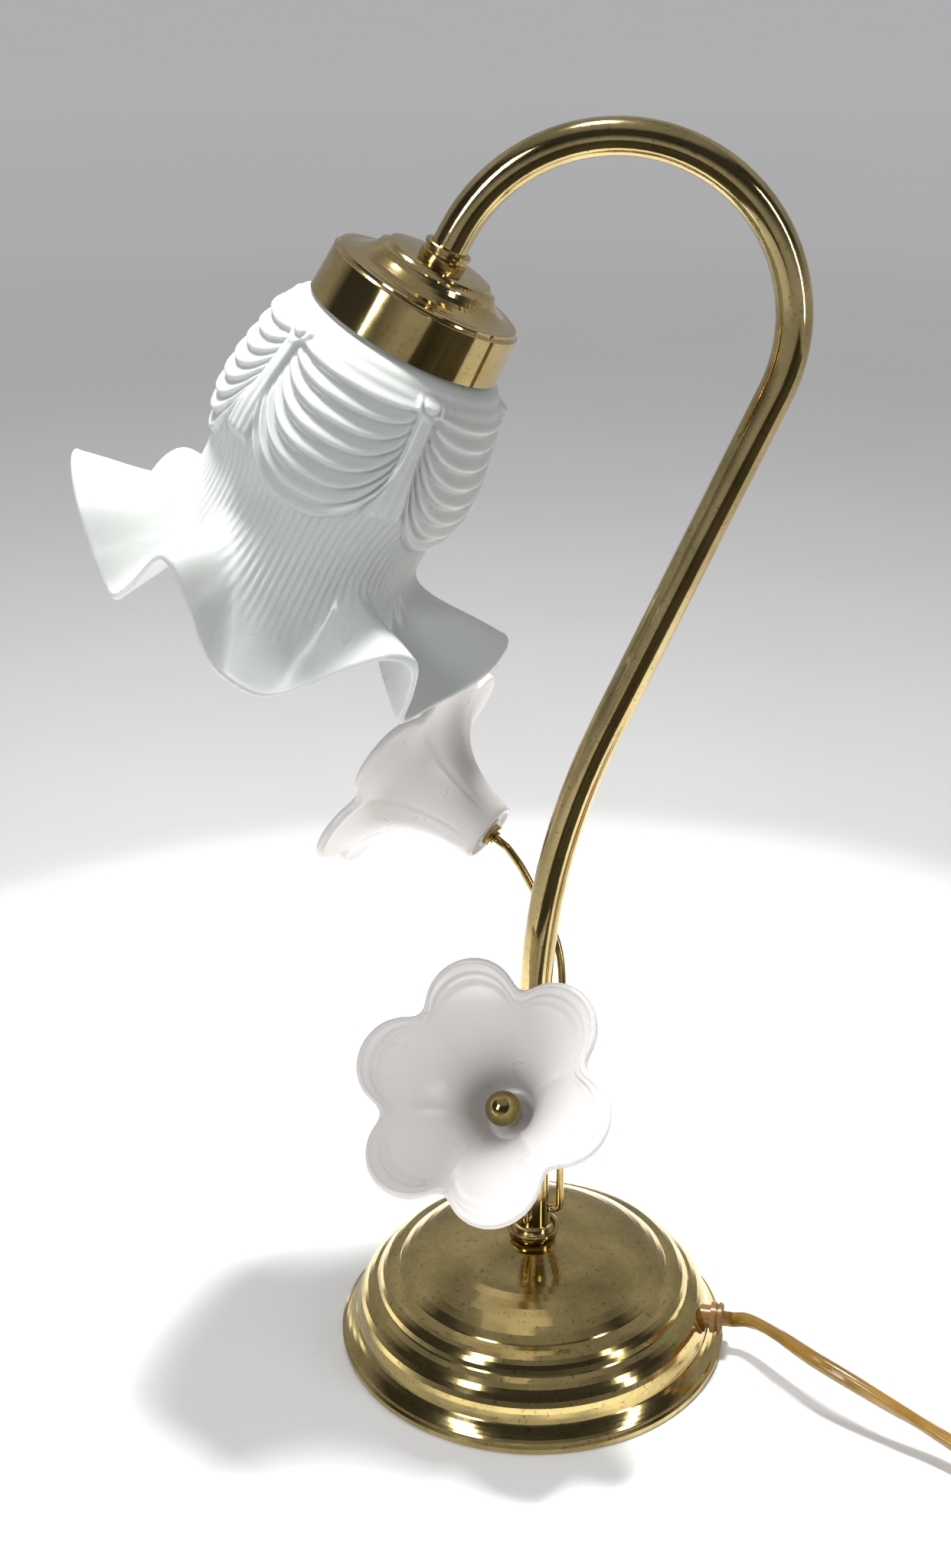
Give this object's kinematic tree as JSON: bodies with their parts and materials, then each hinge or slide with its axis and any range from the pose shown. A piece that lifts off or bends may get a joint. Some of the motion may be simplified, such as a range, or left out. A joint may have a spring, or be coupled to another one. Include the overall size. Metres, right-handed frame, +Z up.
{
  "type": "tulip shade table lamp",
  "caption": "Small table lamp: stepped brass base, arched brass stem, swagged white glass shade pointing down and glass flowers on thin stalks.",
  "frame": {"origin": "centre of the underside of the felt pad, on the surface that the lamp rests on", "axes": "+Z up along the straight foot of the stem; the arch lies in the XZ plane and the shade hangs towards -X; the cord leaves towards +X; -Y is the front"},
  "size_m": [0.434, 0.2155, 0.461],
  "materials": {
    "felt": "matte felt",
    "brass_base": "polished, lightly tarnished",
    "iron": "rough cast",
    "zinc": "zinc plated",
    "gland_plastic": "translucent brown",
    "brass_trim": "polished, darker in its grooves",
    "brass_stem": "polished, fine tarnish specks",
    "lead_cover": "smooth",
    "soft_washer": "soft",
    "flower_glass": "pressed white glass, satin",
    "brass_ball": "polished",
    "brass_gallery": "polished",
    "holder_plastic": "moulded",
    "porcelain": null,
    "contact_brass": "plain",
    "shade_glass": "pressed white glass, satin",
    "solder": "dull",
    "bulb_black": "vitrified",
    "bulb_metal": "satin",
    "bulb_opal": "opal",
    "cord_cover": "translucent golden brown",
    "brown_plastic": "moulded",
    "rocker_plastic": "moulded",
    "plated_pins": "nickel plated"
  },
  "bodies": {
    "lamp": {"felt_pad": "felt", "base_shell": "brass_base", "base_weight": "iron", "foot_washer": "zinc", "foot_nut": "zinc", "foot_nipple": "zinc", "cord_gland": "gland_plastic", "gland_nut": "gland_plastic", "stem_collar": "brass_trim", "stem_tube": "brass_stem", "inner_lead": "lead_cover", "stalk_front": "brass_trim", "stalk_upper": "brass_trim", "seat_front": "brass_trim", "seat_upper": "brass_trim", "washer_front": "soft_washer", "washer_upper": "soft_washer", "flower_front": "flower_glass", "flower_upper": "flower_glass", "finial_front": "brass_ball", "finial_upper": "brass_ball", "head_collar": "brass_trim", "gallery_cap": "brass_gallery", "head_washer": "zinc", "head_nut": "zinc", "head_nipple": "zinc", "holder_cap": "holder_plastic", "holder_body": "holder_plastic", "holder_core": "porcelain", "terminal_screws": "contact_brass", "screw_shell": "contact_brass", "centre_contact": "contact_brass", "shade_washer": "zinc", "shade_ring": "holder_plastic", "shade": "shade_glass", "cord_run": "cord_cover", "cord_link": "cord_cover", "cord_coil": "cord_cover", "cord_tail": "cord_cover", "switch_lower": "brown_plastic", "switch_upper": "brown_plastic", "switch_screws": "zinc", "plug_body": "brown_plastic", "plug_pins": "plated_pins"},
    "bulb": {"bulb_tip": "solder", "bulb_insulator": "bulb_black", "bulb_cap": "bulb_metal", "bulb_glass": "bulb_opal"},
    "rocker": {"switch_rocker": "rocker_plastic"}
  },
  "joints": [
    {"name": "bulb_unscrew", "type": "slide", "parent": "lamp", "child": "bulb", "axis": [-0.4772, 0, -0.8788], "range_m": [0, 0.024]},
    {"name": "rocker_tip", "type": "hinge", "parent": "lamp", "child": "rocker", "pos_m": [0.21, -0.0845, 0.0124], "axis": [0, -1, 0], "range_deg": [0, 16]}
  ]
}
